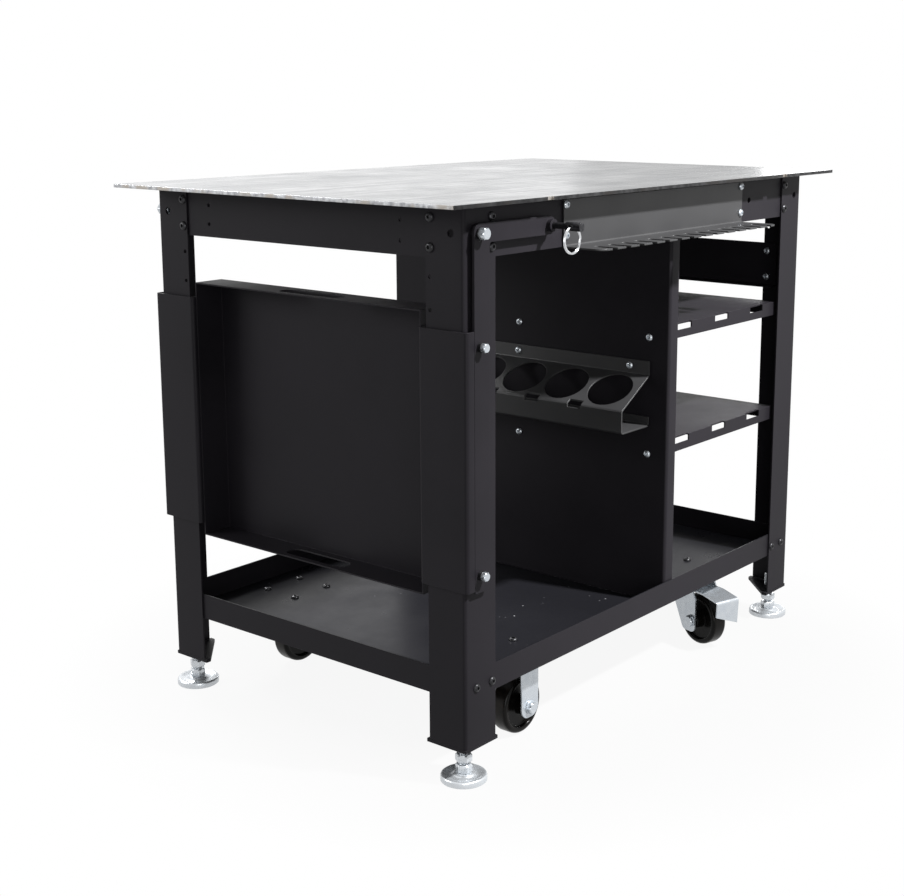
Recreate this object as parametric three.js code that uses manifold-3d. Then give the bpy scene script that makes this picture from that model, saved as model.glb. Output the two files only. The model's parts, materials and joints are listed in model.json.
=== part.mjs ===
// Welding cart: steel table top on four angle legs, with storage below and a fold-up side tray.
// Millimetres, +Z up, origin on the floor under the middle of the top.
// -Y is the long side with the tool rack, -X is the short side with the folding tray.
import * as THREE from 'three';
import { mergeVertices } from 'three/addons/utils/BufferGeometryUtils.js';
import Module from 'manifold-3d';

// Driving dimensions. A drop is measured down from the top of the table.
const HEIGHT = 914;
const TOP_LENGTH = 1166;
const TOP_WIDTH = 760;
const TOP_THICKNESS = 6;
const TOP_NOTCH = { places: [-354, 386], half: 7.5, depth: 5 };
const GAP = 0.3;
const SHEET = 3;
const BEND = 4.5;

const LEG_INSET_X = 65;
const LEG_INSET_Y = 36;
const FLANGE = 74;
const HOLE_INSET = 25;
const SPARE_HOLE = { radius: 3.5, inset: 66, drops: [114, 164] };
const PIVOT_DROP = 47;
const PIVOT_R = 6;
const LOCK_HOLE_R = 5.6;

const APRON_DROP = 86;
const APRON_LIP = 25;
const APRON_SHORT = 4;
const APRON_HOLE = { y: 217, radius: 3.5, drops: [32.5, 64] };

const PAN_BOTTOM = 140;
const PAN_RIM = 45;
const PAN_CORNER = 9;

const DIVIDER_X = 59;
const DIVIDER_DROP = 34;
const DIVIDER_RETURN = 27;
const DIVIDER_SHORT = 20;
const SHELF_DROPS = { upper: 254, lower: 464 };
const SHELF_SHORT = 63;
const SHELF_DEPTH = 26;
const SHELF_CORNER = 8;
const SHELF_HANGER = { inset: 10, depth: 40 };
const SHELF_SLOT = { places: [52, 183, 314], half: 24, into: 6, down: 12 };

const END_PANEL = { top: 146, bottom: 232, lip: 22, short: 44 };

const RACK = { fromPin: 50.6, length: 561, lip: 76, top: 11, below: 0.5 };
const RACK_CORNER = 18;
const RACK_SLOT = { count: 14, pitch: 38.1, half: 7, depth: 40 };

const HOLDER = { short: 46, top: 322, bend: 348, nose: 400, bottom: 440.5, reach: 87, hem: 16.5 };
const HOLDER_HOLE = { pitch: 97, margin: 5, radius: 43 };
const HOLDER_NOTCH = { half: 15, into: 9, above: 9, below: 6 };

const FOOT_SIZE = 80;
const FOOT_CORNER = 10;
const FOOT_BOTTOM = 57;
const FOOT_THICKNESS = 6;
const STUD = { radius: 8, top: 88, collar: 14, flats: 24 };
const JAM_NUT = { bottom: 31, top: 44, flats: 24 };
const PAD_R = 37.5;
const PAD_TOP = 13;

const RIGID_INSET = 218;
const SWIVEL_INSET = 249;
const RIGID_SHORT = { front: 72, rear: 90 };
const SWIVEL_SHORT = 74;
const SWIVEL_TURN = 17;
const TRAIL = 35;
const WHEEL_R = 50;
const TREAD_HALF = 16;
const HUB_HALF = 27.5;
const AXLE_Z = 52.5;
const AXLE_R = 6;
const AXLE_NUT = { flats: 19, height: 9 };
const CHEEK_IN = 28.5;
const CHEEK_OUT = 31.5;
const CHEEK_HALF = 22.5;
const CHEEK_BELOW = 18;
const MOUNT_HALF = { x: 52, y: 46 };
const RACE = { radius: 30, height: 12 };
const CROWN = { half: 30, thickness: 6 };
const PEDAL_HINGE = { reach: 24, drop: 27, radius: 3 };
const PEDAL = { half: 27.5, knee: 62, edge: 104, foot: 101, slope: 7, flap: 56, slant: 20 };

const ARM_OFF = 5;
const ARM_THICKNESS = 5;
const ARM_LEFT = 12.5;
const ARM_RIGHT = 23.5;
const BAR_HALF = 14.5;
const LOCK_REACH = 171.4;
const PIVOT_HEAD = { collar: 9, off: 4, flats: 17, height: 10 };
const PIVOT_NUT = { flats: 19, height: 10, tail: 4 };
const LOCK_PIN = { radius: 5, grip: 7, reach: 71, shoulder: 42, boss: 10, bossHeight: 8 };
const RING = { radius: 20, wire: 2, off: 53, hole: 4.5 };

const TRAY_SHORT = 86.5;
const TRAY_SET_BACK = 8;
const TRAY_DEPTH = 59;
const TRAY_DROPS = { top: 166, bottom: 615 };
const TRAY_SHEET = 2.5;
const HAND_SLOT = { from: 11, to: 40, half: 68, corner: 12 };
const BRACKET = { proud: 6, above: 22, below: 25, depth: 58 };
const ARM_ABOVE = 18;

// Places that follow from them
const LEG_X = TOP_LENGTH / 2 - LEG_INSET_X;
const LEG_Y = TOP_WIDTH / 2 - LEG_INSET_Y;
const PIVOT_X = LEG_X - HOLE_INSET;
const PIVOT_Z = HEIGHT - PIVOT_DROP;
const LOCK_X = PIVOT_X - LOCK_REACH;
const LOCK_Z = PIVOT_Z - LOCK_REACH;
const TOP_UNDERSIDE = HEIGHT - TOP_THICKNESS;
const APRON_BOTTOM = HEIGHT - APRON_DROP;
const LEG_INSIDE_X = LEG_X - SHEET;
const LEG_INSIDE_Y = LEG_Y - SHEET;
const ARM_IN = LEG_Y + ARM_OFF;
const ARM_OUT = ARM_IN + ARM_THICKNESS;

const wasm = await Module();
wasm.setup();

// Solids for the boolean cuts
function toSolid(geometry) {
  const bare = new THREE.BufferGeometry();
  bare.setAttribute('position', geometry.getAttribute('position').clone());
  if (geometry.index) {
    bare.setIndex(geometry.index.clone());
  }
  const welded = mergeVertices(bare, 1e-4);
  const corners = welded.index.array;
  const kept = [];
  for (let i = 0; i < corners.length; i += 3) {
    const [a, b, c] = [corners[i], corners[i + 1], corners[i + 2]];
    if (a !== b && b !== c && c !== a) {
      kept.push(a, b, c);
    }
  }
  return new wasm.Manifold(new wasm.Mesh({
    numProp: 3,
    vertProperties: new Float32Array(welded.getAttribute('position').array),
    triVerts: new Uint32Array(kept),
  }));
}

function toGeometry(solid) {
  const mesh = solid.getMesh();
  const geometry = new THREE.BufferGeometry();
  geometry.setAttribute('position', new THREE.BufferAttribute(mesh.vertProperties, 3));
  geometry.setIndex(new THREE.BufferAttribute(mesh.triVerts, 1));
  geometry.computeVertexNormals();
  return geometry;
}

function cut(geometry, tools) {
  let solid = toSolid(geometry);
  for (const tool of tools) {
    solid = solid.subtract(toSolid(tool));
  }
  return toGeometry(solid);
}

function join(geometries) {
  let solid = toSolid(geometries[0]);
  for (const geometry of geometries.slice(1)) {
    solid = solid.add(toSolid(geometry));
  }
  return toGeometry(solid);
}

// Basic shapes. A range may be given from either end.
function box(xs, ys, zs) {
  const geometry = new THREE.BoxGeometry(
    Math.abs(xs[1] - xs[0]),
    Math.abs(ys[1] - ys[0]),
    Math.abs(zs[1] - zs[0]),
  );
  geometry.translate((xs[0] + xs[1]) / 2, (ys[0] + ys[1]) / 2, (zs[0] + zs[1]) / 2);
  return geometry;
}

// A rod along an axis; at gives the two other coordinates in x, y, z order.
function rod(axis, radius, range, at, sides = 16) {
  const length = Math.abs(range[1] - range[0]);
  const middle = (range[0] + range[1]) / 2;
  const geometry = new THREE.CylinderGeometry(radius, radius, length, sides);
  if (axis === 'x') {
    geometry.rotateZ(Math.PI / 2);
    geometry.translate(middle, at[0], at[1]);
  } else if (axis === 'y') {
    geometry.translate(at[0], middle, at[1]);
  } else {
    geometry.rotateX(Math.PI / 2);
    geometry.translate(at[0], at[1], middle);
  }
  return geometry;
}

function hexagon(axis, acrossFlats, range, at) {
  return rod(axis, acrossFlats / Math.sqrt(3), range, at, 6);
}

// Extrudes a flat outline: along x it holds (y, z), along y (x, z), along z (x, y).
function extrude(outline, axis, range) {
  const [from, to] = [Math.min(...range), Math.max(...range)];
  const shape = new THREE.Shape(outline.map(([u, v]) => new THREE.Vector2(u, v)));
  const geometry = new THREE.ExtrudeGeometry(shape, { depth: to - from, bevelEnabled: false });
  const place = new THREE.Matrix4();
  if (axis === 'x') {
    place.set(0, 0, 1, from, 1, 0, 0, 0, 0, 1, 0, 0, 0, 0, 0, 1);
  } else if (axis === 'y') {
    place.set(1, 0, 0, 0, 0, 0, -1, to, 0, 1, 0, 0, 0, 0, 0, 1);
  } else {
    place.makeTranslation(0, 0, from);
  }
  geometry.applyMatrix4(place);
  return geometry;
}

// Points of an arc that rounds the corner between two straight runs, with their left normals.
function roundCorner(before, corner, after, radius, steps) {
  const inward = new THREE.Vector2(corner[0] - before[0], corner[1] - before[1]).normalize();
  const outward = new THREE.Vector2(after[0] - corner[0], after[1] - corner[1]).normalize();
  const turn = Math.atan2(inward.cross(outward), inward.dot(outward));
  const tangent = radius * Math.tan(Math.abs(turn) / 2);
  const start = [corner[0] - inward.x * tangent, corner[1] - inward.y * tangent];
  const side = Math.sign(turn);
  const normal = new THREE.Vector2(-inward.y, inward.x);
  const centre = [start[0] + normal.x * radius * side, start[1] + normal.y * radius * side];
  const points = [];
  for (let i = 0; i <= steps; i += 1) {
    const turned = normal.clone().rotateAround(new THREE.Vector2(0, 0), (turn * i) / steps);
    points.push({
      at: [centre[0] - turned.x * radius * side, centre[1] - turned.y * radius * side],
      normal: turned,
    });
  }
  return points;
}

// Outline of a sheet bent along a mid-line.
function bentSheet(midline, thickness = SHEET, radius = BEND) {
  const stations = [];
  midline.forEach((point, i) => {
    if (i > 0 && i < midline.length - 1) {
      stations.push(...roundCorner(midline[i - 1], point, midline[i + 1], radius, 3));
      return;
    }
    const [from, to] = i === 0 ? [point, midline[1]] : [midline[i - 1], point];
    const run = new THREE.Vector2(to[0] - from[0], to[1] - from[1]).normalize();
    stations.push({ at: point, normal: new THREE.Vector2(-run.y, run.x) });
  });
  const offset = (station, distance) => [
    station.at[0] + station.normal.x * distance,
    station.at[1] + station.normal.y * distance,
  ];
  const left = stations.map((station) => offset(station, thickness / 2));
  const right = stations.map((station) => offset(station, -thickness / 2));
  return [...left, ...right.reverse()];
}

// Outline of a flat plate; each corner is x, y and an optional radius.
function plateOutline(corners) {
  const outline = [];
  corners.forEach((corner, i) => {
    const before = corners[(i + corners.length - 1) % corners.length];
    const after = corners[(i + 1) % corners.length];
    if (corner[2]) {
      const steps = corner[2] > 10 ? 6 : 4;
      outline.push(...roundCorner(before, corner, after, corner[2], steps).map((p) => p.at));
    } else {
      outline.push([corner[0], corner[1]]);
    }
  });
  return outline;
}

// A turned solid about the z axis from (radius, height) points.
function turned(profile, sides = 32) {
  const points = profile.map(([radius, height]) => new THREE.Vector2(radius, height));
  const geometry = new THREE.LatheGeometry(points, sides);
  geometry.rotateX(Math.PI / 2);
  return geometry;
}

// Materials
const paint = () => new THREE.MeshStandardMaterial({ color: 0x2b2b2d, metalness: 0.1, roughness: 0.5 });
const bareSteel = () => new THREE.MeshStandardMaterial({ color: 0xc9cacb, metalness: 0.9, roughness: 0.35 });
const zinc = () => new THREE.MeshStandardMaterial({ color: 0xb9bcc0, metalness: 0.9, roughness: 0.3 });
const phenolic = () => new THREE.MeshStandardMaterial({ color: 0x15120f, metalness: 0, roughness: 0.35 });
const blackOxide = () => new THREE.MeshStandardMaterial({ color: 0x19191b, metalness: 0.5, roughness: 0.4 });
const chrome = () => new THREE.MeshStandardMaterial({ color: 0xd8dadd, metalness: 1, roughness: 0.15 });

function addPart(parent, name, geometry, material) {
  const mesh = new THREE.Mesh(geometry, material);
  mesh.name = name;
  parent.add(mesh);
}

function addGroup(parent, name) {
  const child = new THREE.Group();
  child.name = name;
  parent.add(child);
  return child;
}

const group = new THREE.Group();
group.name = 'welding_cart';

const CORNERS = [
  { name: 'front_left', sx: -1, sy: -1 },
  { name: 'front_right', sx: 1, sy: -1 },
  { name: 'rear_left', sx: -1, sy: 1 },
  { name: 'rear_right', sx: 1, sy: 1 },
];
const SIDES = [
  { name: 'front', sy: -1 },
  { name: 'rear', sy: 1 },
];

// How far a cutting tool runs past the sheet that it cuts
const OVERCUT = 2 * SHEET;

// Table top with two small notches in its front edge
const frame = addGroup(group, 'frame');
const topNotches = TOP_NOTCH.places.map((x) => box(
  [x - TOP_NOTCH.half, x + TOP_NOTCH.half],
  [-TOP_WIDTH / 2 - OVERCUT, -TOP_WIDTH / 2 + TOP_NOTCH.depth],
  [TOP_UNDERSIDE - OVERCUT, HEIGHT + OVERCUT],
));
addPart(frame, 'top_plate', cut(box(
  [-TOP_LENGTH / 2, TOP_LENGTH / 2],
  [-TOP_WIDTH / 2, TOP_WIDTH / 2],
  [TOP_UNDERSIDE, HEIGHT],
), topNotches), bareSteel());

// Legs: bent angles with a pivot hole in each flange and two spare holes in the end flange
function legGeometry(sx, sy) {
  const midX = sx * (LEG_X - SHEET / 2);
  const midY = sy * (LEG_Y - SHEET / 2);
  const outline = bentSheet([
    [sx * (LEG_X - FLANGE), midY],
    [midX, midY],
    [midX, sy * (LEG_Y - FLANGE)],
  ]);
  const throughEnd = [midX - OVERCUT, midX + OVERCUT];
  const throughSide = [midY - OVERCUT, midY + OVERCUT];
  const spareY = sy * (LEG_Y - SPARE_HOLE.inset);
  const tools = [
    rod('y', PIVOT_R + GAP, throughSide, [sx * PIVOT_X, PIVOT_Z]),
    rod('x', PIVOT_R + GAP, throughEnd, [sy * (LEG_Y - HOLE_INSET), PIVOT_Z]),
    ...SPARE_HOLE.drops.map((drop) => rod('x', SPARE_HOLE.radius, throughEnd, [spareY, HEIGHT - drop])),
  ];
  if (sx < 0) {
    tools.push(rod('y', LOCK_HOLE_R, throughSide, [sx * PIVOT_X, LOCK_Z]));
  }
  const bottom = FOOT_BOTTOM + FOOT_THICKNESS + GAP;
  return cut(extrude(outline, 'z', [bottom, TOP_UNDERSIDE - GAP]), tools);
}

const legs = addGroup(frame, 'legs');
for (const { name, sx, sy } of CORNERS) {
  addPart(legs, `leg_${name}`, legGeometry(sx, sy), paint());
}

// Aprons: angles behind the leg flanges, with their lips under the top
const aprons = addGroup(frame, 'aprons');
const apronLipZ = TOP_UNDERSIDE - GAP - SHEET / 2;
const longApron = LEG_INSIDE_X - APRON_SHORT;
const shortApron = LEG_INSIDE_Y - APRON_LIP - APRON_SHORT;
for (const { name, sy } of SIDES) {
  const webY = sy * (LEG_INSIDE_Y - GAP - SHEET / 2);
  const outline = bentSheet([
    [webY, APRON_BOTTOM],
    [webY, apronLipZ],
    [webY - sy * APRON_LIP, apronLipZ],
  ]);
  const through = [webY - OVERCUT, webY + OVERCUT];
  const tools = [-1, 1].flatMap((sx) => [
    rod('y', LOCK_HOLE_R, through, [sx * LOCK_X, PIVOT_Z]),
    rod('y', PIVOT_R + GAP, through, [sx * PIVOT_X, PIVOT_Z]),
  ]);
  const sheet = extrude(outline, 'x', [-longApron, longApron]);
  addPart(aprons, `apron_${name}`, cut(sheet, tools), paint());
}
for (const [name, sx] of [['left', -1], ['right', 1]]) {
  const webX = sx * (LEG_INSIDE_X - GAP - SHEET / 2);
  const outline = bentSheet([
    [webX, APRON_BOTTOM],
    [webX, apronLipZ],
    [webX - sx * APRON_LIP, apronLipZ],
  ]);
  const through = [webX - OVERCUT, webX + OVERCUT];
  const tools = [-APRON_HOLE.y, APRON_HOLE.y].flatMap((y) => (
    APRON_HOLE.drops.map((drop) => rod('x', APRON_HOLE.radius, through, [y, HEIGHT - drop]))
  ));
  const sheet = extrude(outline, 'y', [-shortApron, shortApron]);
  addPart(aprons, `apron_${name}`, cut(sheet, tools), paint());
}

// Bottom pan with an upturned rim
const storage = addGroup(group, 'storage');
const panX = LEG_INSIDE_X - GAP;
const panY = LEG_INSIDE_Y - GAP;
const panTop = PAN_BOTTOM + PAN_RIM;
const panOutline = (inset) => plateOutline([
  [inset - panX, inset - panY, PAN_CORNER - inset],
  [panX - inset, inset - panY, PAN_CORNER - inset],
  [panX - inset, panY - inset, PAN_CORNER - inset],
  [inset - panX, panY - inset, PAN_CORNER - inset],
]);
addPart(storage, 'base_pan', cut(
  extrude(panOutline(0), 'z', [PAN_BOTTOM, panTop]),
  [extrude(panOutline(SHEET), 'z', [PAN_BOTTOM + SHEET, panTop + OVERCUT])],
), paint());

// Divider across the cart, with return flanges towards the shelves
const dividerMid = DIVIDER_X + SHEET / 2;
const dividerFront = -(panY - SHEET - GAP - SHEET / 2);
const dividerRear = LEG_INSIDE_Y - DIVIDER_SHORT;
addPart(storage, 'divider_panel', extrude(bentSheet([
  [DIVIDER_X + DIVIDER_RETURN, dividerFront],
  [dividerMid, dividerFront],
  [dividerMid, dividerRear - SHEET / 2],
  [DIVIDER_X + DIVIDER_RETURN, dividerRear - SHEET / 2],
]), 'z', [PAN_BOTTOM + SHEET + GAP, HEIGHT - DIVIDER_DROP]), paint());

// Shelves: shallow pans turned down, with relief slots along the front bend
function shelfGeometry(top) {
  const xs = [DIVIDER_X + SHEET + GAP, LEG_X - SHELF_SHORT];
  const ys = [dividerFront + SHEET / 2 + GAP, dividerRear - SHEET - GAP];
  const outline = (inset) => plateOutline([
    [xs[0] + inset, ys[0] + inset, SHELF_CORNER - inset],
    [xs[1] - inset, ys[0] + inset, SHELF_CORNER - inset],
    [xs[1] - inset, ys[1] - inset, SHELF_CORNER - inset],
    [xs[0] + inset, ys[1] - inset, SHELF_CORNER - inset],
  ]);
  const inside = extrude(outline(SHEET), 'z', [top - SHELF_DEPTH - OVERCUT, top - SHEET]);
  const slots = SHELF_SLOT.places.map((place) => box(
    [xs[0] + place - SHELF_SLOT.half, xs[0] + place + SHELF_SLOT.half],
    [ys[0] - OVERCUT, ys[0] + SHELF_SLOT.into],
    [top - SHELF_SLOT.down, top + OVERCUT],
  ));
  const pan = cut(extrude(outline(0), 'z', [top - SHELF_DEPTH, top]), [inside, ...slots]);
  const hanger = box(
    [xs[0], xs[0] + SHEET],
    [ys[0] + SHELF_HANGER.inset, ys[1] - SHELF_HANGER.inset],
    [top - SHELF_HANGER.depth, top - SHEET],
  );
  return join([pan, hanger]);
}

addPart(storage, 'upper_shelf', shelfGeometry(HEIGHT - SHELF_DROPS.upper), paint());
addPart(storage, 'lower_shelf', shelfGeometry(HEIGHT - SHELF_DROPS.lower), paint());

// Panel between the right legs, with a lip at its lower edge
const endPanelX = LEG_INSIDE_X - GAP - SHEET / 2;
const endPanelY = LEG_Y - END_PANEL.short;
addPart(storage, 'end_panel', extrude(bentSheet([
  [endPanelX, HEIGHT - END_PANEL.top],
  [endPanelX, HEIGHT - END_PANEL.bottom],
  [endPanelX - END_PANEL.lip, HEIGHT - END_PANEL.bottom],
]), 'y', [-endPanelY, endPanelY]), paint());

// Tool rack on the front apron: an angle whose lip is a comb
const rackY = -(LEG_Y - SHEET / 2);
const rackFront = -(LEG_Y + RACK.lip);
const rackZ = APRON_BOTTOM - RACK.below;
const rackLeft = RACK.fromPin - LOCK_X;
const rackRight = rackLeft + RACK.length;
const rackMiddle = (rackLeft + rackRight) / 2;
const throughLip = [rackZ - OVERCUT, rackZ + OVERCUT];
const rackSheet = extrude(bentSheet([
  [rackY, HEIGHT - RACK.top],
  [rackY, rackZ],
  [rackFront, rackZ],
]), 'x', [rackLeft, rackRight]);
const rackSlots = [];
for (let i = 0; i < RACK_SLOT.count; i += 1) {
  const x = rackMiddle + (i - (RACK_SLOT.count - 1) / 2) * RACK_SLOT.pitch;
  const outline = plateOutline([
    [x - RACK_SLOT.half, rackFront - OVERCUT],
    [x + RACK_SLOT.half, rackFront - OVERCUT],
    [x + RACK_SLOT.half, rackFront + RACK_SLOT.depth, RACK_SLOT.half - GAP],
    [x - RACK_SLOT.half, rackFront + RACK_SLOT.depth, RACK_SLOT.half - GAP],
  ]);
  rackSlots.push(extrude(outline, 'z', throughLip));
}
const lipCorners = [[rackLeft, 1], [rackRight, -1]].map(([x, into]) => cut(
  box(
    [x - into * OVERCUT, x + into * RACK_CORNER],
    [rackFront - OVERCUT, rackFront + RACK_CORNER],
    throughLip,
  ),
  [rod('z', RACK_CORNER, [rackZ - 2 * OVERCUT, rackZ + 2 * OVERCUT], [
    x + into * RACK_CORNER,
    rackFront + RACK_CORNER,
  ], 32)],
));
addPart(storage, 'tool_rack', cut(rackSheet, [...rackSlots, ...lipCorners]), paint());

// Bottle holder on the divider: sloping plate with a row of holes above a boxed lip
const holderHalf = LEG_Y - HOLDER.short;
const holderBack = DIVIDER_X - GAP - SHEET / 2;
const holderFront = holderBack - HOLDER.reach;
const holderBend = HEIGHT - HOLDER.bend;
const holderNose = HEIGHT - HOLDER.nose;
const holderBottom = HEIGHT - HOLDER.bottom;
const holderOutline = bentSheet([
  [holderBack, HEIGHT - HOLDER.top],
  [holderBack, holderBend],
  [holderFront, holderNose],
  [holderFront, holderBottom],
  [holderBack, holderBottom],
  [holderBack, holderBottom + HOLDER.hem],
]);
const holderTilt = Math.atan2(holderBend - holderNose, HOLDER.reach);
const holderHoles = Math.floor((2 * (holderHalf - HOLDER_HOLE.margin)) / HOLDER_HOLE.pitch);
const holderCuts = [];
for (let i = 0; i < holderHoles; i += 1) {
  const y = (i - (holderHoles - 1) / 2) * HOLDER_HOLE.pitch;
  const hole = rod('z', HOLDER_HOLE.radius, [-2 * OVERCUT, 2 * OVERCUT], [0, 0], 30);
  hole.rotateY(-holderTilt);
  hole.translate((holderBack + holderFront) / 2, y, (holderBend + holderNose) / 2);
  holderCuts.push(hole);
  if (i > 0) {
    const between = y - HOLDER_HOLE.pitch / 2;
    holderCuts.push(box(
      [holderFront - OVERCUT, holderFront + HOLDER_NOTCH.into],
      [between - HOLDER_NOTCH.half, between + HOLDER_NOTCH.half],
      [holderNose - HOLDER_NOTCH.below, holderNose + HOLDER_NOTCH.above],
    ));
  }
}
const holderSheet = extrude(holderOutline, 'y', [-holderHalf, holderHalf]);
addPart(storage, 'bottle_holder', cut(holderSheet, holderCuts), paint());

// Levelling feet: a plate under each leg, a stud with its jam nut, and a round pad
const feet = addGroup(group, 'feet');
const padProfile = [
  [0, 0],
  [PAD_R, 0],
  [PAD_R, PAD_TOP * 0.65],
  [PAD_R * 0.95, PAD_TOP * 0.85],
  [PAD_R * 0.87, PAD_TOP * 0.85],
  [PAD_R * 0.64, PAD_TOP * 0.58],
  [PAD_R * 0.43, PAD_TOP],
  [0, PAD_TOP],
];
const studBottom = PAD_TOP + GAP;
for (const { name, sx, sy } of CORNERS) {
  const at = [sx * (LEG_X - HOLE_INSET), sy * (LEG_Y - HOLE_INSET)];
  const foot = addGroup(feet, `foot_${name}`);
  const plate = plateOutline([
    [0, 0],
    [FOOT_SIZE, 0],
    [FOOT_SIZE, FOOT_CORNER],
    [FOOT_CORNER, FOOT_SIZE],
    [0, FOOT_SIZE],
  ].map(([u, v]) => [sx * (LEG_X - u), sy * (LEG_Y - v)]));
  const plateTop = FOOT_BOTTOM + FOOT_THICKNESS;
  addPart(foot, `foot_plate_${name}`, cut(
    extrude(plate, 'z', [FOOT_BOTTOM, plateTop]),
    [rod('z', STUD.radius + GAP, [FOOT_BOTTOM - OVERCUT, plateTop + OVERCUT], at)],
  ), paint());
  addPart(foot, `jam_nut_${name}`, cut(
    hexagon('z', JAM_NUT.flats, [JAM_NUT.bottom, JAM_NUT.top], at),
    [rod('z', STUD.radius + GAP, [JAM_NUT.bottom - OVERCUT, JAM_NUT.top + OVERCUT], at)],
  ), zinc());
  addPart(foot, `foot_stud_${name}`, join([
    rod('z', STUD.radius, [studBottom, STUD.top], at),
    hexagon('z', STUD.flats, [studBottom, studBottom + STUD.collar], at),
  ]), zinc());
  const pad = turned(padProfile, 28);
  pad.translate(at[0], at[1], 0);
  addPart(foot, `foot_pad_${name}`, pad, zinc());
}

// Casters. Each is made with its wheel on an axle along y, at the origin.
const casters = addGroup(group, 'casters');
const bore = AXLE_R + GAP;
const wheelProfile = [
  [bore, -HUB_HALF],
  [WHEEL_R * 0.3, -HUB_HALF],
  [WHEEL_R * 0.34, -TREAD_HALF * 0.6],
  [WHEEL_R * 0.74, -TREAD_HALF * 0.6],
  [WHEEL_R * 0.8, -TREAD_HALF],
  [WHEEL_R * 0.93, -TREAD_HALF],
  [WHEEL_R, -TREAD_HALF * 0.7],
  [WHEEL_R, TREAD_HALF * 0.7],
  [WHEEL_R * 0.93, TREAD_HALF],
  [WHEEL_R * 0.8, TREAD_HALF],
  [WHEEL_R * 0.74, TREAD_HALF * 0.6],
  [WHEEL_R * 0.34, TREAD_HALF * 0.6],
  [WHEEL_R * 0.3, HUB_HALF],
  [bore, HUB_HALF],
  [bore, -HUB_HALF],
];

function wheelGeometry() {
  const geometry = turned(wheelProfile, 28);
  geometry.rotateX(Math.PI / 2);
  geometry.translate(0, 0, AXLE_Z);
  return geometry;
}

function axleGeometry() {
  const face = CHEEK_OUT + GAP;
  const at = [0, AXLE_Z];
  return join([
    rod('y', AXLE_R, [-face - SHEET, face + SHEET], at),
    hexagon('y', AXLE_NUT.flats, [-face - AXLE_NUT.height, -face], at),
    hexagon('y', AXLE_NUT.flats, [face, face + AXLE_NUT.height], at),
  ]);
}

const mountTop = PAN_BOTTOM - GAP;
const mountPlate = () => box(
  [-MOUNT_HALF.x, MOUNT_HALF.x],
  [-MOUNT_HALF.y, MOUNT_HALF.y],
  [mountTop - SHEET, mountTop],
);
const acrossFork = [-2 * CHEEK_OUT, 2 * CHEEK_OUT];
const bothCheeks = (outline) => [-1, 1].map((side) => (
  extrude(outline, 'y', [side * CHEEK_IN, side * CHEEK_OUT])
));

for (const { name, sy } of SIDES) {
  const rigid = addGroup(casters, `rigid_caster_${name}`);
  const settle = (geometry) => geometry.translate(RIGID_INSET - LEG_X, sy * (LEG_Y - RIGID_SHORT[name]), 0);
  const cheek = plateOutline([
    [-CHEEK_HALF, mountTop - SHEET / 2],
    [-CHEEK_HALF, AXLE_Z - CHEEK_BELOW, CHEEK_BELOW],
    [CHEEK_HALF, AXLE_Z - CHEEK_BELOW, CHEEK_BELOW],
    [CHEEK_HALF, mountTop - SHEET / 2],
  ]);
  addPart(rigid, `rigid_fork_${name}`, settle(cut(
    join([mountPlate(), ...bothCheeks(cheek)]),
    [rod('y', bore, acrossFork, [0, AXLE_Z])],
  )), zinc());
  addPart(rigid, `wheel_left_${name}`, settle(wheelGeometry()), phenolic());
  addPart(rigid, `axle_left_${name}`, settle(axleGeometry()), zinc());
}

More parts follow.
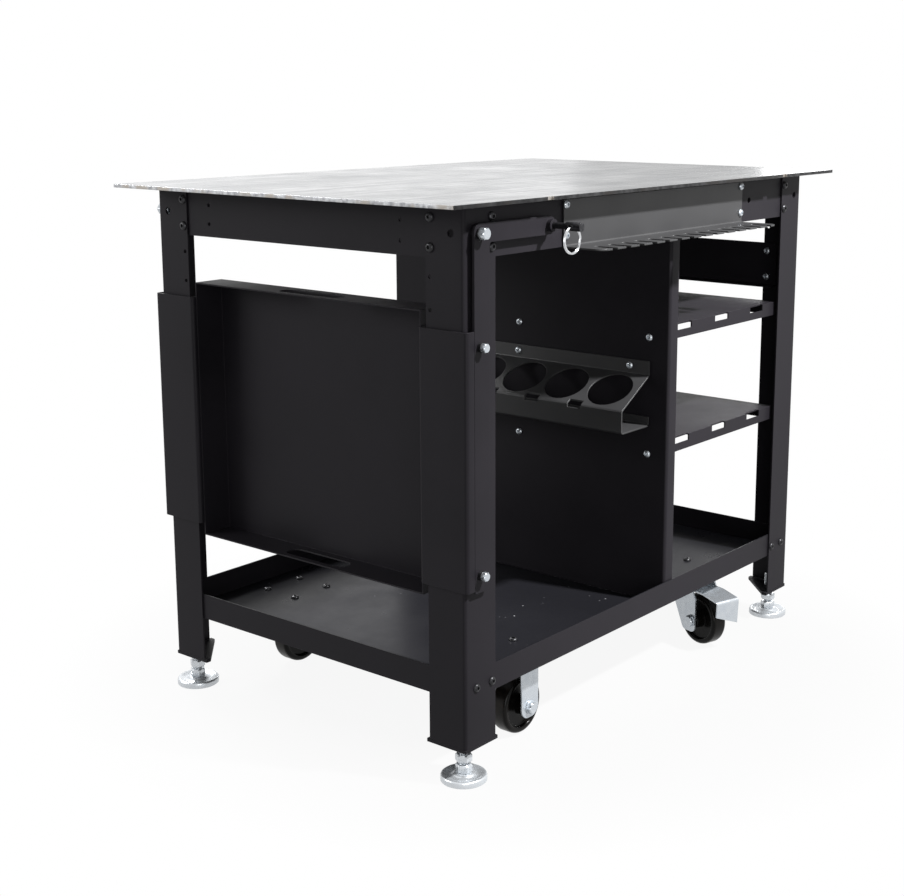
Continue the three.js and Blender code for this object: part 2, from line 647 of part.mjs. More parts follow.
// The swivel casters trail along +x at first and are turned to point outwards.
const crownTop = mountTop - RACE.height - GAP;
const crownBottom = crownTop - CROWN.thickness;
const hingeZ = mountTop - PEDAL_HINGE.drop;
for (const { name, sy } of SIDES) {
  const swivel = addGroup(casters, `swivel_caster_${name}`);
  const turn = sy * (Math.PI / 2 + THREE.MathUtils.degToRad(SWIVEL_TURN));
  const settle = (geometry) => (
    geometry.rotateZ(turn).translate(LEG_X - SWIVEL_INSET, sy * (LEG_Y - SWIVEL_SHORT), 0)
  );
  const plate = mountPlate().translate(LEG_X - SWIVEL_INSET, sy * (LEG_Y - SWIVEL_SHORT), 0);
  const race = settle(rod('z', RACE.radius, [mountTop - RACE.height, mountTop - SHEET / 2], [0, 0], 32));
  addPart(swivel, `swivel_plate_${name}`, join([plate, race]), zinc());
  const cheek = plateOutline([
    [-CROWN.half, crownTop],
    [-CROWN.half, crownBottom - CROWN.thickness, CROWN.thickness],
    [TRAIL - CHEEK_HALF, AXLE_Z - CHEEK_HALF, CHEEK_HALF / 2],
    [TRAIL + CHEEK_HALF / 2, AXLE_Z - CHEEK_HALF, CHEEK_HALF / 2],
    [TRAIL + CHEEK_HALF / 2, AXLE_Z + 2 * CHEEK_HALF, CHEEK_HALF / 2],
    [CROWN.half, crownTop],
  ]);
  const crownHalf = CHEEK_OUT - GAP;
  const crown = box([-CROWN.half, CROWN.half], [-crownHalf, crownHalf], [crownBottom, crownTop]);
  const hinge = [PEDAL_HINGE.reach, hingeZ];
  addPart(swivel, `swivel_fork_${name}`, settle(cut(join([crown, ...bothCheeks(cheek)]), [
    rod('y', bore, acrossFork, [TRAIL, AXLE_Z]),
    rod('y', PEDAL_HINGE.radius + GAP, acrossFork, hinge),
  ])), zinc());
  addPart(swivel, `wheel_right_${name}`, settle(wheelGeometry().translate(TRAIL, 0, 0)), phenolic());
  addPart(swivel, `axle_right_${name}`, settle(axleGeometry().translate(TRAIL, 0, 0)), zinc());

  // Brake pedal: a plate on a cross pin, with a flap turned down and cut on the slant
  const pedal = bentSheet([
    [PEDAL_HINGE.reach - PEDAL_HINGE.radius, hingeZ],
    [PEDAL.knee, hingeZ],
    [PEDAL.edge, hingeZ - PEDAL.slope],
    [PEDAL.foot, hingeZ - PEDAL.flap],
  ]);
  const flapEnd = hingeZ - PEDAL.flap;
  const offcut = extrude([
    [sy * PEDAL.half * 2, flapEnd + PEDAL.slant * 1.5],
    [-sy * PEDAL.half * 2, flapEnd - PEDAL.slant / 2],
    [sy * PEDAL.half * 2, flapEnd - PEDAL.slant / 2],
  ], 'x', [PEDAL.foot - OVERCUT, PEDAL.edge + OVERCUT]);
  addPart(swivel, `brake_pedal_${name}`, settle(cut(join([
    rod('y', PEDAL_HINGE.radius, [-CHEEK_OUT - SHEET, CHEEK_OUT + SHEET], hinge),
    extrude(pedal, 'y', [-PEDAL.half, PEDAL.half]),
  ]), [offcut])), zinc());
}

// Folding side tray, hung outside the left legs
const wing = addGroup(group, 'wing');
const trayHalf = LEG_Y - TRAY_SHORT;
const bracketFront = -(LEG_X + BRACKET.proud);
const trayFront = bracketFront + TRAY_SET_BACK;
const trayBack = trayFront + TRAY_DEPTH;
const trayTop = HEIGHT - TRAY_DROPS.top;
const trayBottom = HEIGHT - TRAY_DROPS.bottom;
const handSlot = plateOutline([
  [trayFront + HAND_SLOT.from, -HAND_SLOT.half, HAND_SLOT.corner],
  [trayFront + HAND_SLOT.to, -HAND_SLOT.half, HAND_SLOT.corner],
  [trayFront + HAND_SLOT.to, HAND_SLOT.half, HAND_SLOT.corner],
  [trayFront + HAND_SLOT.from, HAND_SLOT.half, HAND_SLOT.corner],
]);
addPart(wing, 'wing_tray', cut(
  box([trayFront, trayBack], [-trayHalf, trayHalf], [trayBottom, trayTop]),
  [
    box(
      [trayFront - OVERCUT, trayBack - TRAY_SHEET],
      [TRAY_SHEET - trayHalf, trayHalf - TRAY_SHEET],
      [trayBottom + TRAY_SHEET, trayTop - TRAY_SHEET],
    ),
    extrude(handSlot, 'z', [trayBottom - OVERCUT, trayTop + OVERCUT]),
  ],
), paint());

for (const { name, sy } of SIDES) {
  const side = addGroup(wing, `wing_side_${name}`);
  const sideY = sy * (ARM_OUT - SHEET / 2);
  const trayY = sy * (trayHalf + GAP + SHEET / 2);
  const webX = bracketFront + SHEET / 2;
  const armEdge = -PIVOT_X - ARM_LEFT;
  addPart(side, `wing_bracket_${name}`, extrude(bentSheet([
    [armEdge - GAP, sideY],
    [webX, sideY],
    [webX, trayY],
    [bracketFront + BRACKET.depth, trayY],
  ]), 'z', [trayBottom + BRACKET.above, trayTop - BRACKET.below]), paint());

  // The arm and its locking bar are one plate flush with the bracket, with a guide boss for the pin.
  const pivotAt = [-PIVOT_X, PIVOT_Z];
  const pinAt = [-LOCK_X, PIVOT_Z];
  const barEnd = BAR_HALF - LOCK_X;
  const armBottom = trayBottom + ARM_ABOVE;
  const arm = plateOutline([
    [armEdge, armBottom, BEND],
    [-PIVOT_X + ARM_RIGHT, armBottom, BEND],
    [-PIVOT_X + ARM_RIGHT, PIVOT_Z - BAR_HALF, BEND],
    [barEnd, PIVOT_Z - BAR_HALF, BAR_HALF - GAP],
    [barEnd, PIVOT_Z + BAR_HALF, BAR_HALF - GAP],
    [armEdge, PIVOT_Z + BAR_HALF, ARM_LEFT],
  ]);
  const bossEnd = ARM_OUT + LOCK_PIN.bossHeight;
  const throughArm = [sy * (ARM_IN - OVERCUT), sy * (bossEnd + OVERCUT)];
  addPart(side, `wing_arm_${name}`, cut(
    join([
      extrude(arm, 'y', [sy * ARM_IN, sy * ARM_OUT]),
      rod('y', LOCK_PIN.boss, [sy * (ARM_IN + GAP), sy * bossEnd], pinAt),
    ]),
    [
      rod('y', PIVOT_R + GAP, throughArm, pivotAt),
      rod('y', LOCK_PIN.radius + GAP, throughArm, pinAt),
    ],
  ), paint());

  // Pivot bolt: head on a collar outside, spacer between arm and leg, nut behind the apron
  const behindApron = LEG_INSIDE_Y - GAP - SHEET - GAP;
  const boltTail = behindApron - PIVOT_NUT.height;
  const collarEnd = ARM_OUT + GAP + PIVOT_HEAD.off;
  addPart(side, `pivot_bolt_${name}`, join([
    rod('y', PIVOT_R, [sy * (boltTail - PIVOT_NUT.tail), sy * collarEnd], pivotAt),
    rod('y', PIVOT_HEAD.collar, [sy * (ARM_OUT + GAP), sy * collarEnd], pivotAt),
    hexagon('y', PIVOT_HEAD.flats, [sy * (collarEnd - GAP), sy * (collarEnd + PIVOT_HEAD.height)], pivotAt),
    rod('y', PIVOT_HEAD.collar, [sy * (LEG_Y + GAP), sy * (ARM_IN - GAP)], pivotAt),
    hexagon('y', PIVOT_NUT.flats, [sy * boltTail, sy * behindApron], pivotAt),
  ]), zinc());

  // Lock pin, drawn pulled back so that its tip is just inside the bar
  const gripStart = LEG_Y + LOCK_PIN.shoulder;
  const ringY = sy * (LEG_Y + RING.off);
  addPart(side, `lock_pin_${name}`, cut(
    join([
      rod('y', LOCK_PIN.radius, [sy * (ARM_IN + SHEET / 2), sy * (gripStart + SHEET)], pinAt),
      rod('y', LOCK_PIN.grip, [sy * gripStart, sy * (LEG_Y + LOCK_PIN.reach)], pinAt),
    ]),
    [rod('x', RING.hole, [-LOCK_X - 2 * LOCK_PIN.grip, -LOCK_X + 2 * LOCK_PIN.grip], [ringY, PIVOT_Z])],
  ), blackOxide());

  const ring = new THREE.TorusGeometry(RING.radius, RING.wire, 6, 24);
  ring.rotateX(Math.PI / 2);
  ring.translate(-LOCK_X, ringY, PIVOT_Z - RING.wire / 2 - RING.radius);
  addPart(side, `pull_ring_${name}`, ring, chrome());
}

export default group;
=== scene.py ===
# Welding cart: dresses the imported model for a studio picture.
import json
from math import cos, pi, radians, sin

import bmesh
import bpy
from mathutils import Matrix, Vector


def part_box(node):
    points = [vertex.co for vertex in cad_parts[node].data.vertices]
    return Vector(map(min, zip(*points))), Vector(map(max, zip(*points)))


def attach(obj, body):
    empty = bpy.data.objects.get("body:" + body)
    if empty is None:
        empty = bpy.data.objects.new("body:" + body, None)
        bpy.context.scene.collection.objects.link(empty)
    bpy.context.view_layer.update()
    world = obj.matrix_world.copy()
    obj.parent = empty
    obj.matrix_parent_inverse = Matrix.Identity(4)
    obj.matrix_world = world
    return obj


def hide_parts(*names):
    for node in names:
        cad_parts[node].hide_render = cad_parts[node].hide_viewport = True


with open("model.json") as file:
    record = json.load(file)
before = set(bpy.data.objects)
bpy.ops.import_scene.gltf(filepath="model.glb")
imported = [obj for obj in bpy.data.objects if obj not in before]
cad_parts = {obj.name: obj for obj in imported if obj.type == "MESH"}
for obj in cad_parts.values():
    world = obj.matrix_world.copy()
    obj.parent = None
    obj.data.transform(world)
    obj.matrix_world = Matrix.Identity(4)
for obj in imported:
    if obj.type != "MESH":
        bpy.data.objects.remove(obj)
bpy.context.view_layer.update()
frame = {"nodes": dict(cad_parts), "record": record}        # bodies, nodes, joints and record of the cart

mm = 0.001
corners = {"front_left": (-1, -1), "front_right": (1, -1), "rear_left": (-1, 1), "rear_right": (1, 1)}
sides = {"front": -1, "rear": 1}
behaviour = frame["record"]["behaviour"]
nodeBody = {node: body for body, nodes in behaviour["bodies"].items() for node in nodes}
spinAxis = {joint["child"]: Vector(joint["axis"]) for joint in behaviour["joints"]}
nodeSlot = {part["node"]: part["material_slot"] for part in frame["record"]["subparts"]}


def low(node):
    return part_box(node)[0] / mm


def high(node):
    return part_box(node)[1] / mm


def middle(node):
    return (low(node) + high(node)) / 2


def linear(colour):
    # sRGB hex to the linear colour that the shaders take
    parts = [int(colour[i:i + 2], 16) / 255 for i in (1, 3, 5)]
    return [p / 12.92 if p <= 0.04045 else ((p + 0.055) / 1.055) ** 2.4 for p in parts] + [1.0]


def perMetre(size):
    return 1 / (size * mm)        # texture scale for a pattern of this size in mm


def addNode(tree, kind, links=None, inputs=None, **settings):
    node = tree.nodes.new(kind)
    for name, value in settings.items():
        setattr(node, name, value)
    for name, value in (inputs or {}).items():
        node.inputs[name].default_value = value
    for name, socket in (links or {}).items():
        tree.links.new(socket, node.inputs[name])
    return node


def addNoise(tree, place, size, detail=2.0, roughness=0.5):
    noise = addNode(tree, "ShaderNodeTexNoise", {"Vector": place},
                    {"Scale": perMetre(size), "Detail": detail, "Roughness": roughness})
    return noise.outputs[0]


def remap(tree, value, span, to=(0.0, 1.0)):
    ranged = addNode(tree, "ShaderNodeMapRange", {"Value": value},
                     {"From Min": span[0], "From Max": span[1], "To Min": to[0], "To Max": to[1]})
    return ranged.outputs[0]


def combine(tree, first, second, operation="MULTIPLY"):
    return addNode(tree, "ShaderNodeMath", {0: first, 1: second}, operation=operation).outputs[0]


def blend(tree, share, first, second):
    mix = addNode(tree, "ShaderNodeMix", {0: share}, {6: linear(first), 7: linear(second)},
                  data_type="RGBA")
    return mix.outputs[2]


# Camera at the photograph's viewpoint, found from the table's corners and feet
photoCamera = {
    "place": (-2200.2, -1752.2, 1080.7),
    "yaw": 0.89505,           # radians from +Y towards +X
    "pitch": -0.19691,
    "focal": 1510.8,          # pixels
    "imageSize": (904, 896),
    "axisOffset": (43.6, -62.4),        # optical axis from the image's middle, pixels right and down
    "sensor": 36.0,
}


def addCamera(setup):
    data = bpy.data.cameras.new("photoCamera")
    width = setup["imageSize"][0]
    data.sensor_width = setup["sensor"]
    data.lens = setup["focal"] * setup["sensor"] / width
    data.shift_x = -setup["axisOffset"][0] / width
    data.shift_y = setup["axisOffset"][1] / width
    camera = bpy.data.objects.new("photoCamera", data)
    bpy.context.scene.collection.objects.link(camera)
    yaw, pitch = setup["yaw"], setup["pitch"]
    aim = Vector((sin(yaw) * cos(pitch), cos(yaw) * cos(pitch), sin(pitch)))
    camera.location = Vector(setup["place"]) * mm
    camera.rotation_euler = aim.to_track_quat("-Z", "Y").to_euler()
    bpy.context.scene.camera = camera


addCamera(photoCamera)
print("camera placed")


# Studio: white floor and backdrop, a small key lamp over the rack side, three lamps behind the cart,
# a fill at the front left and a weak lamp off the right end
studio = {
    "floorSize": 60.0,            # metres
    "floorColour": "#8c8c8c",
    "floorGlow": (0.92, 1.0),     # share of plain white that is seen near the cart and far off
    "fade": (0.45, 0.85),         # metres from the cart's middle
    "white": "#ffffff",
    "air": "#ffffff",
    "airStrength": 0.34,
    "lamps": [
        {"name": "keyLamp", "kind": "SPOT", "at": (0.6, -2.9, 3.7), "to": (0.05, -0.35, 0.8),
         "size": 0.12, "power": 3000, "cone": 25, "softEdge": 1.0},
        {"name": "rearLamp", "kind": "AREA", "at": (0.6, 3.2, 3.4), "to": (0.2, 0, 0.4),
         "size": 0.9, "power": 190},
        {"name": "farLamp", "kind": "AREA", "at": (4.3, 4.5, 2.3), "to": (0, 0, 0.8),
         "size": 2.7, "power": 10.5},
        {"name": "leftLamp", "kind": "AREA", "at": (-3.0, 2.8, 2.2), "to": (-0.5, 0.2, 0.7),
         "size": 1.6, "power": 80},
        {"name": "fillLamp", "kind": "AREA", "at": (-2.7, -2.9, 1.0), "to": (-0.4, -0.3, 0.1),
         "size": 1.6, "power": 30},
        {"name": "cornerLamp", "kind": "AREA", "at": (4.3, 1.4, 1.3), "to": (0.5, -0.3, 0.9),
         "size": 0.7, "power": 8.5},
    ],
}


# Rays that meet the white background: seen by the camera, in gloss or through glass
def whiteRays(tree):
    rays = addNode(tree, "ShaderNodeLightPath").outputs
    seen = combine(tree, rays["Is Camera Ray"], rays["Is Glossy Ray"], "MAXIMUM")
    return combine(tree, seen, rays["Is Transmission Ray"], "MAXIMUM")


def addStudio(setup):
    shape = bmesh.new()
    bmesh.ops.create_grid(shape, x_segments=1, y_segments=1, size=setup["floorSize"] / 2)
    mesh = bpy.data.meshes.new("studioFloor")
    shape.to_mesh(mesh)
    shape.free()
    floor = bpy.data.objects.new("studioFloor", mesh)
    bpy.context.scene.collection.objects.link(floor)

    paper = bpy.data.materials.new("studioPaper")        # matt white paper, shows only a faint shadow
    paper.use_nodes = True
    tree = paper.node_tree
    tree.nodes.clear()
    place = addNode(tree, "ShaderNodeTexCoord")
    away = addNode(tree, "ShaderNodeVectorMath", {0: place.outputs["Object"]}, operation="LENGTH")
    whiter = remap(tree, away.outputs["Value"], setup["fade"], setup["floorGlow"])
    matt = addNode(tree, "ShaderNodeBsdfDiffuse", inputs={"Color": linear(setup["floorColour"])})
    glow = addNode(tree, "ShaderNodeEmission", inputs={"Color": linear(setup["white"]), "Strength": 1.0})
    share = combine(tree, whiteRays(tree), whiter)
    mix = addNode(tree, "ShaderNodeMixShader", {0: share, 1: matt.outputs[0], 2: glow.outputs[0]})
    addNode(tree, "ShaderNodeOutputMaterial", {"Surface": mix.outputs[0]})
    mesh.materials.append(paper)

    air = bpy.data.worlds.new("studioAir")
    air.use_nodes = True
    tree = air.node_tree
    tree.nodes.clear()
    soft = addNode(tree, "ShaderNodeBackground",
                   inputs={"Color": linear(setup["air"]), "Strength": setup["airStrength"]})
    white = addNode(tree, "ShaderNodeBackground",
                    inputs={"Color": linear(setup["white"]), "Strength": 1.0})
    mix = addNode(tree, "ShaderNodeMixShader",
                  {0: whiteRays(tree), 1: soft.outputs[0], 2: white.outputs[0]})
    addNode(tree, "ShaderNodeOutputWorld", {"Surface": mix.outputs[0]})
    bpy.context.scene.world = air

    for lamp in setup["lamps"]:
        data = bpy.data.lights.new(lamp["name"], lamp["kind"])
        data.energy = lamp["power"]
        if lamp["kind"] == "SPOT":
            data.shadow_soft_size = lamp["size"]
            data.spot_size = radians(lamp["cone"])
            data.spot_blend = lamp["softEdge"]
        else:
            data.size = lamp["size"]
        light = bpy.data.objects.new(lamp["name"], data)
        bpy.context.scene.collection.objects.link(light)
        aim = Vector(lamp["to"]) - Vector(lamp["at"])
        light.location = lamp["at"]
        light.rotation_euler = aim.to_track_quat("-Z", "Y").to_euler()


addStudio(studio)
bpy.context.scene.view_settings.view_transform = "Standard"
print("studio ready")


def newFinish(name):
    finish = bpy.data.materials.new(name)
    finish.use_nodes = True
    tree = finish.node_tree
    tree.nodes.clear()
    surface = addNode(tree, "ShaderNodeBsdfPrincipled")
    addNode(tree, "ShaderNodeOutputMaterial", {"Surface": surface.outputs[0]})
    place = addNode(tree, "ShaderNodeTexCoord")
    return finish, tree, surface, place.outputs["Object"]


# Polyester powder coat, sprayed and baked: a dull sheen with a fine pebbled skin and faint cloudy dust
powderCoat = {
    "black": "#141316",
    "dusty": "#201e22",
    "roughness": (0.42, 0.54),
    "sheen": 0.09,            # specular level
    "pebble": 5,              # mm, coarser than the real 1 mm so that it shows
    "pebbleHeight": 0.05,
    "pebbleStrength": 0.35,
    "cloud": 160,             # mm, hand-sized patches of dust and wiping
    "cloudSpan": (0.3, 0.7),
}


# The same coat on the rack and the bottle holder, glossier and painted paler all over: the paler colour is
# painted light for the light these parts catch
rackLitCoat = {
    **powderCoat,
    # paler black and dust: painted light, not wear
    "black": "#232324",
    "dusty": "#2e2e2f",
    "roughness": (0.4, 0.5),
    "sheen": 0.36,
    "cloud": 90,
}


def makePowderCoat(name, setup):
    finish, tree, surface, place = newFinish(name)
    pebble = addNoise(tree, place, setup["pebble"])
    cloud = addNoise(tree, place, setup["cloud"], detail=5.0, roughness=0.6)
    colour = blend(tree, cloud, setup["black"], setup["dusty"])
    dull = remap(tree, cloud, setup["cloudSpan"], setup["roughness"])
    skin = addNode(tree, "ShaderNodeBump", {"Height": pebble},
                   {"Strength": setup["pebbleStrength"], "Distance": setup["pebbleHeight"] * mm})
    tree.links.new(colour, surface.inputs["Base Color"])
    tree.links.new(dull, surface.inputs["Roughness"])
    tree.links.new(skin.outputs[0], surface.inputs["Normal"])
    surface.inputs["Specular IOR Level"].default_value = setup["sheen"]
    return finish


# The same coat on the pan floor, rubbed smoother and marked by what stood on it
rubbedCoat = {
    "black": "#141417",
    "mark": "#77777a",
    "roughness": (0.26, 0.42),
    "sheen": 0.06,
    "speck": 26,                  # mm between chips and grit
    "chip": (0.05, 0.08),         # share of that distance that a chip covers
    "rub": 90,                    # mm
    "rubSpan": (0.3, 0.7),
    "chipSpan": (0.55, 0.62),     # part of the rubbing where there are chips
}


def makeRubbedCoat(setup):
    finish, tree, surface, place = newFinish("rubbedPowderCoat")
    rub = addNoise(tree, place, setup["rub"], detail=6.0, roughness=0.65)
    grit = addNode(tree, "ShaderNodeTexVoronoi", {"Vector": place}, {"Scale": perMetre(setup["speck"])})
    chips = remap(tree, grit.outputs["Distance"], setup["chip"], (1.0, 0.0))
    marked = combine(tree, chips, remap(tree, rub, setup["chipSpan"]))
    colour = blend(tree, marked, setup["black"], setup["mark"])
    dull = remap(tree, rub, setup["rubSpan"], setup["roughness"])
    tree.links.new(colour, surface.inputs["Base Color"])
    tree.links.new(dull, surface.inputs["Roughness"])
    surface.inputs["Specular IOR Level"].default_value = setup["sheen"]
    return finish


# Hot-rolled steel plate, ground clean: mid grey, with long rolling streaks and cloudy dull patches
rolledSteel = {
    "pale": "#828385",
    "dark": "#545659",
    "roughness": (0.2, 0.32),
    "streak": (420, 9),           # mm along and across the rolling direction
    "patch": 130,
    "paleSpan": (0.12, 0.42),
    "brightSpan": (0.1, 0.4),
    "metal": 1.0,
}


def makeRolledSteel(setup):
    finish, tree, surface, place = newFinish("rolledSteelPlate")
    along, across = setup["streak"]
    stretched = addNode(tree, "ShaderNodeMapping", {"Vector": place},
                        {"Scale": (perMetre(along), perMetre(across), perMetre(across))})
    streak = addNode(tree, "ShaderNodeTexNoise", {"Vector": stretched.outputs[0]},
                     {"Scale": 1.0, "Detail": 4.0, "Roughness": 0.6})
    patch = addNoise(tree, place, setup["patch"], detail=6.0, roughness=0.62)
    both = combine(tree, streak.outputs[0], patch)
    colour = blend(tree, remap(tree, both, setup["paleSpan"]), setup["dark"], setup["pale"])
    smooth, rough = setup["roughness"]
    dull = remap(tree, both, setup["brightSpan"], (rough, smooth))
    tree.links.new(colour, surface.inputs["Base Color"])
    tree.links.new(dull, surface.inputs["Roughness"])
    surface.inputs["Metallic"].default_value = setup["metal"]
    return finish


# Laser-cut steel edge: short upright drag lines, greys with heat-tinted blotches
cutEdge = {
    "pale": "#b4b5b7",
    "dark": "#808184",
    "tint": "#948f89",
    "roughness": 0.45,
    "metal": 0.8,
    "drag": 7,                    # mm, coarser than the real 1 mm so that it shows
    "dragSpan": (0.35, 0.65),
    "blotch": 34,
    "blotchSpan": (0.5, 0.6),
}


# The long edges of the plate, still dark with mill scale
scaledEdge = {
    **cutEdge,
    "pale": "#3a3a3b",
    "dark": "#1d1d1e",
    "tint": "#2c2a29",
    "roughness": 0.5,
    "drag": 12,
    "blotch": 60,
}


def makeCutEdge(name, setup):
    finish, tree, surface, place = newFinish(name)
    drag = addNoise(tree, place, setup["drag"], detail=3.0)
    blotch = addNoise(tree, place, setup["blotch"], detail=4.0, roughness=0.6)
    grey = blend(tree, remap(tree, drag, setup["dragSpan"]), setup["dark"], setup["pale"])
    tinted = remap(tree, blotch, setup["blotchSpan"])
    colour = addNode(tree, "ShaderNodeMix", {0: tinted, 6: grey}, {7: linear(setup["tint"])},
                     data_type="RGBA")
    tree.links.new(colour.outputs[2], surface.inputs["Base Color"])
    surface.inputs["Roughness"].default_value = setup["roughness"]
    surface.inputs["Metallic"].default_value = setup["metal"]
    return finish


# Bright zinc plate over pressed and turned steel: silvery with a faint blue spangle
zincPlate = {
    "pale": "#c6cacd",
    "blue": "#a8afb7",
    "roughness": (0.2, 0.32),
    "spangle": 14,
    "spangleSpan": (0.35, 0.65),
    "metal": 0.78,                # the plate's milky skin scatters the rest
}


# Paler, milkier zinc of the levelling feet: pads, studs and jam nuts
satinZinc = {
    **zincPlate,
    "pale": "#d4d7da",
    "blue": "#bcc1c6",
    "roughness": (0.22, 0.32),
    "spangle": 20,
    "metal": 0.66,
}


def makeZincPlate(name, setup):
    finish, tree, surface, place = newFinish(name)
    spangle = addNoise(tree, place, setup["spangle"], detail=3.0)
    colour = blend(tree, spangle, setup["pale"], setup["blue"])
    dull = remap(tree, spangle, setup["spangleSpan"], setup["roughness"])
    tree.links.new(colour, surface.inputs["Base Color"])
    tree.links.new(dull, surface.inputs["Roughness"])
    surface.inputs["Metallic"].default_value = setup["metal"]
    return finish


# Moulded phenolic resin: hard glossy black with a trace of brown fibre
mouldedPhenolic = {"black": "#060606", "fibre": "#0e0c0a", "roughness": 0.2, "sheen": 0.1, "fleck": 6}


def makeMouldedPhenolic(setup):
    finish, tree, surface, place = newFinish("mouldedPhenolic")
    fleck = addNoise(tree, place, setup["fleck"], detail=4.0)
    tree.links.new(blend(tree, fleck, setup["black"], setup["fibre"]), surface.inputs["Base Color"])
    surface.inputs["Roughness"].default_value = setup["roughness"]
    surface.inputs["Specular IOR Level"].default_value = setup["sheen"]
    return finish


# The same resin where the wheel has rolled: rubbed dull, with paler patches of floor dust and a brownish
# tint that is a painted reflection of the floor
treadDustAndReflection = {
    # brownish base: painted reflection of the floor on the tread
    "brown": "#0d0b09",
    "dust": "#1f1a15",
    "roughness": 0.3,
    "sheen": 0.15,
    "scuff": 14,
    "dustSpan": (0.45, 0.7),
}


def makeTreadDustAndReflection(setup):
    finish, tree, surface, place = newFinish("wornPhenolicTread")
    scuff = addNoise(tree, place, setup["scuff"], detail=5.0, roughness=0.7)
    colour = blend(tree, remap(tree, scuff, setup["dustSpan"]), setup["brown"], setup["dust"])
    tree.links.new(colour, surface.inputs["Base Color"])
    surface.inputs["Roughness"].default_value = setup["roughness"]
    surface.inputs["Specular IOR Level"].default_value = setup["sheen"]
    return finish


# Black-oxided steel: dark, slightly oily, with worn pale points
blackOxide = {
    "black": "#262628",
    "worn": "#4a4a4d",
    "roughness": 0.36,
    "metal": 0.7,
    "wear": 5,
    "wornSpan": (0.5, 0.8),
}


def makeBlackOxide(setup):
    finish, tree, surface, place = newFinish("blackOxideSteel")
    wear = addNoise(tree, place, setup["wear"], detail=3.0)
    colour = blend(tree, remap(tree, wear, setup["wornSpan"]), setup["black"], setup["worn"])
    tree.links.new(colour, surface.inputs["Base Color"])
    surface.inputs["Roughness"].default_value = setup["roughness"]
    surface.inputs["Metallic"].default_value = setup["metal"]
    return finish


# Nickel-plated spring wire: mirror bright, with fine drawing marks
platedWire = {"bright": "#e2e3e5", "mark": "#c4c6c9", "roughness": (0.08, 0.2), "draw": 4, "metal": 1.0}


def makePlatedWire(setup):
    finish, tree, surface, place = newFinish("platedSpringWire")
    draw = addNoise(tree, place, setup["draw"])
    colour = blend(tree, draw, setup["bright"], setup["mark"])
    tree.links.new(colour, surface.inputs["Base Color"])
    tree.links.new(remap(tree, draw, (0.0, 1.0), setup["roughness"]), surface.inputs["Roughness"])
    surface.inputs["Metallic"].default_value = setup["metal"]
    return finish


coat = makePowderCoat("satinPowderCoat", powderCoat)
rackCoat = makePowderCoat("handledPowderCoat", rackLitCoat)
panCoat = makeRubbedCoat(rubbedCoat)
plateSteel = makeRolledSteel(rolledSteel)
plateEdge = makeCutEdge("laserCutSteelEdge", cutEdge)
plateSide = makeCutEdge("scaledSteelEdge", scaledEdge)
zinc = makeZincPlate("brightZincPlate", zincPlate)
footZinc = makeZincPlate("satinZincPlate", satinZinc)
wheelResin = makeMouldedPhenolic(mouldedPhenolic)
treadResin = makeTreadDustAndReflection(treadDustAndReflection)
oxide = makeBlackOxide(blackOxide)
ringWire = makePlatedWire(platedWire)
slotFinish = {
    "bare_steel": plateSteel,
    "black_paint": coat,
    "zinc_plate": zinc,
    "phenolic": wheelResin,
    "black_oxide": oxide,
    "chrome_wire": ringWire,
}
print("finishes mixed")


# Degrees from which an edge shows as an edge
edgeAngles = {
    "turned": 38,
    "hexagon": 30,
    "wheel": 45,
    "sheet": 50,
    "weighted": 40,        # past this angle the large faces are kept flat by weighted normals
}


def addPiece(name, shape, body, finishes, replaced=(), edges="turned"):
    bmesh.ops.recalc_face_normals(shape, faces=shape.faces)
    mesh = bpy.data.meshes.new(name)
    shape.to_mesh(mesh)
    shape.free()
    mesh.shade_smooth()
    mesh.set_sharp_from_angle(angle=radians(edgeAngles[edges]))
    for finish in finishes:
        mesh.materials.append(finish)
    piece = bpy.data.objects.new(name, mesh)
    bpy.context.scene.collection.objects.link(piece)
    if edgeAngles[edges] > edgeAngles["weighted"]:
        piece.modifiers.new("flatFaces", "WEIGHTED_NORMAL").keep_sharp = True
    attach(piece, body)
    if replaced:
        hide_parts(*replaced)
    return piece


# Rings along an axis joined into a turned solid. A ring is radius, height and, for a hexagon, "hex":
# its radius is then half the width across flats. A closed set of rings has a bore and no ends.
def addTurned(shape, rings, spot, facing, steps=36, closed=False):
    turn = Vector(facing).to_track_quat("Z", "Y").to_matrix().to_4x4()
    place = Matrix.Translation(Vector(spot) * mm) @ turn
    loops = []
    for radius, height, *form in rings:
        loop = []
        for i in range(steps if radius else 1):
            angle = 2 * pi * i / steps
            reach = radius / cos(angle % (pi / 3) - pi / 6) if form else radius
            point = Vector((reach * cos(angle), reach * sin(angle), height)) * mm
            loop.append(shape.verts.new(place @ point))
        loops.append(loop)
    pairs = list(zip(loops, loops[1:]))
    if closed:
        pairs.append((loops[-1], loops[0]))
    faces = []
    for lower, upper in pairs:
        for i in range(steps):
            ring = [lower[i % len(lower)], lower[(i + 1) % steps % len(lower)],
                    upper[(i + 1) % steps % len(upper)], upper[i % len(upper)]]
            faces.append(shape.faces.new(list(dict.fromkeys(ring))))
    if not closed:
        for end in (loops[0], loops[-1]):
            if len(end) > 1:
                faces.append(shape.faces.new(end))
    return faces


# Sheet and plate pieces: each takes over its solid with softly broken edges
sheetEdges = {
    "radius": 0.6,
    "steps": 2,
    "sharpest": 40,        # degrees, flatter steps belong to a bend or a round hole
    "merge": 0.01,         # mm, closer points become one
    "flat": 1,             # degrees, flatter faces become one
}
plateFaces = {
    "tilt": 0.6,           # part of the normal that makes a face a top or a long edge
    "skin": 1,             # mm behind the front edge, where the notches begin
    "notchShare": 0.9,     # share of the plate's half width, where they have ended
}
panFloorTilt = 0.9
turnedNodes = ("wheel_", "foot_pad_", "foot_stud_", "jam_nut_", "axle_", "pivot_bolt_", "pull_ring_")


